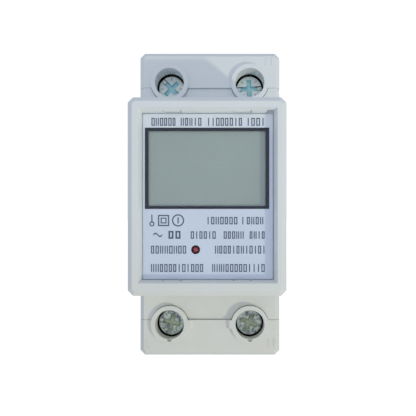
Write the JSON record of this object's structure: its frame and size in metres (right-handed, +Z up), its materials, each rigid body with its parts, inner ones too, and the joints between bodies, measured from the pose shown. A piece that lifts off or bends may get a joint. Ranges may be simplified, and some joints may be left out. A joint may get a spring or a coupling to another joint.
{
  "type": "prepaid electricity meter",
  "caption": "Rail-mounted single-phase electricity meter: slim white case, raised nose with blank display window and pulse lamp, screw wells above and below.",
  "frame": {"origin": "centre of the rail seat, on the plane that rests on the front of a 35 mm top-hat rail", "axes": "+Z up along the body's height, -Y out of the front face, +X to the right seen from the front"},
  "size_m": [0.036, 0.065, 0.0796],
  "materials": {
    "housing_plastic": "satin, fine moulded grain",
    "latch_plastic": "satin",
    "window_clear": "clear, polished",
    "plate_print": "printed, satin",
    "display_frame": "satin",
    "display_glass": "grey-green, semi-matte polariser",
    "diffuser": "matte",
    "contact_rubber": "matte",
    "led_red": "tinted, gloss",
    "board_laminate": "solder mask",
    "chip_package": "matte",
    "crystal_can": "satin",
    "film_case": "gloss",
    "can_sleeve": "gloss",
    "varistor_coating": "semi-gloss",
    "resistor_body": "semi-gloss",
    "relay_case": "satin",
    "busbar_copper": "rolled copper",
    "shunt_alloy": "rolled resistance alloy",
    "lead_red": "wire insulation",
    "lead_white": "wire insulation",
    "lead_blue": "wire insulation",
    "terminal_brass": "machined",
    "zinc_plate": "zinc plated",
    "screw_zinc": "blue-white zinc plated",
    "spring_steel": "bright wire"
  },
  "bodies": {
    "meter": {"rail_base": "housing_plastic", "case_frame": "housing_plastic", "terminal_cover_upper": "housing_plastic", "terminal_cover_lower": "housing_plastic", "front_cover": "housing_plastic", "window_lens": "window_clear", "name_plate": "plate_print", "lcd_frame": "display_frame", "lcd_panel": "display_glass", "lcd_reflector": "diffuser", "lcd_contact_upper": "contact_rubber", "lcd_contact_lower": "contact_rubber", "pulse_led": "led_red", "display_board": "board_laminate", "power_board": "board_laminate", "controller_chip": "chip_package", "metering_chip": "chip_package", "board_header": "chip_package", "crystal": "crystal_can", "film_capacitor": "film_case", "electrolytic_capacitor": "can_sleeve", "varistor": "varistor_coating", "fuse_resistor": "resistor_body", "disconnect_relay": "relay_case", "live_in_busbar": "busbar_copper", "relay_busbar": "busbar_copper", "live_out_busbar": "busbar_copper", "neutral_busbar": "busbar_copper", "shunt_strip": "shunt_alloy", "shunt_lead_low": "lead_red", "shunt_lead_high": "lead_white", "neutral_lead": "lead_blue", "terminal_block_upper_left": "terminal_brass", "terminal_block_upper_right": "terminal_brass", "terminal_block_lower_left": "terminal_brass", "terminal_block_lower_right": "terminal_brass", "latch_spring": "spring_steel"},
    "latch": {"rail_latch": "latch_plastic"},
    "clamp_upper_left": {"clamp_plate_upper_left": "zinc_plate"},
    "screw_upper_left": {"terminal_screw_upper_left": "screw_zinc"},
    "clamp_upper_right": {"clamp_plate_upper_right": "zinc_plate"},
    "screw_upper_right": {"terminal_screw_upper_right": "screw_zinc"},
    "clamp_lower_left": {"clamp_plate_lower_left": "zinc_plate"},
    "screw_lower_left": {"terminal_screw_lower_left": "screw_zinc"},
    "clamp_lower_right": {"clamp_plate_lower_right": "zinc_plate"},
    "screw_lower_right": {"terminal_screw_lower_right": "screw_zinc"}
  },
  "joints": [
    {"name": "latch_release", "type": "slide", "parent": "meter", "child": "latch", "axis": [0, 0, -1], "range_m": [0, 0.004], "stiffness_N_per_m": 800, "springref_m": -0.003, "deforming": ["latch_spring"]},
    {"name": "clamp_slide_upper_left", "type": "slide", "parent": "meter", "child": "clamp_upper_left", "axis": [0, 1, 0], "range_m": [-0.004, 0.004]},
    {"name": "screw_turn_upper_left", "type": "hinge", "parent": "clamp_upper_left", "child": "screw_upper_left", "pos_m": [-0.0103, -0.03, 0.031], "axis": [0, 1, 0], "range_deg": [-1800, 1800]},
    {"name": "clamp_slide_upper_right", "type": "slide", "parent": "meter", "child": "clamp_upper_right", "axis": [0, 1, 0], "range_m": [-0.004, 0.004]},
    {"name": "screw_turn_upper_right", "type": "hinge", "parent": "clamp_upper_right", "child": "screw_upper_right", "pos_m": [0.0103, -0.03, 0.031], "axis": [0, 1, 0], "range_deg": [-1800, 1800]},
    {"name": "clamp_slide_lower_left", "type": "slide", "parent": "meter", "child": "clamp_lower_left", "axis": [0, 1, 0], "range_m": [-0.004, 0.004]},
    {"name": "screw_turn_lower_left", "type": "hinge", "parent": "clamp_lower_left", "child": "screw_lower_left", "pos_m": [-0.0103, -0.03, -0.031], "axis": [0, 1, 0], "range_deg": [-1800, 1800]},
    {"name": "clamp_slide_lower_right", "type": "slide", "parent": "meter", "child": "clamp_lower_right", "axis": [0, 1, 0], "range_m": [-0.004, 0.004]},
    {"name": "screw_turn_lower_right", "type": "hinge", "parent": "clamp_lower_right", "child": "screw_lower_right", "pos_m": [0.0103, -0.03, -0.031], "axis": [0, 1, 0], "range_deg": [-1800, 1800]}
  ],
  "couplings": [
    {"joint": "screw_turn_upper_left", "follows": "clamp_slide_upper_left", "rad_per_m": 7850},
    {"joint": "screw_turn_upper_right", "follows": "clamp_slide_upper_right", "rad_per_m": 7850},
    {"joint": "screw_turn_lower_left", "follows": "clamp_slide_lower_left", "rad_per_m": 7850},
    {"joint": "screw_turn_lower_right", "follows": "clamp_slide_lower_right", "rad_per_m": 7850}
  ]
}
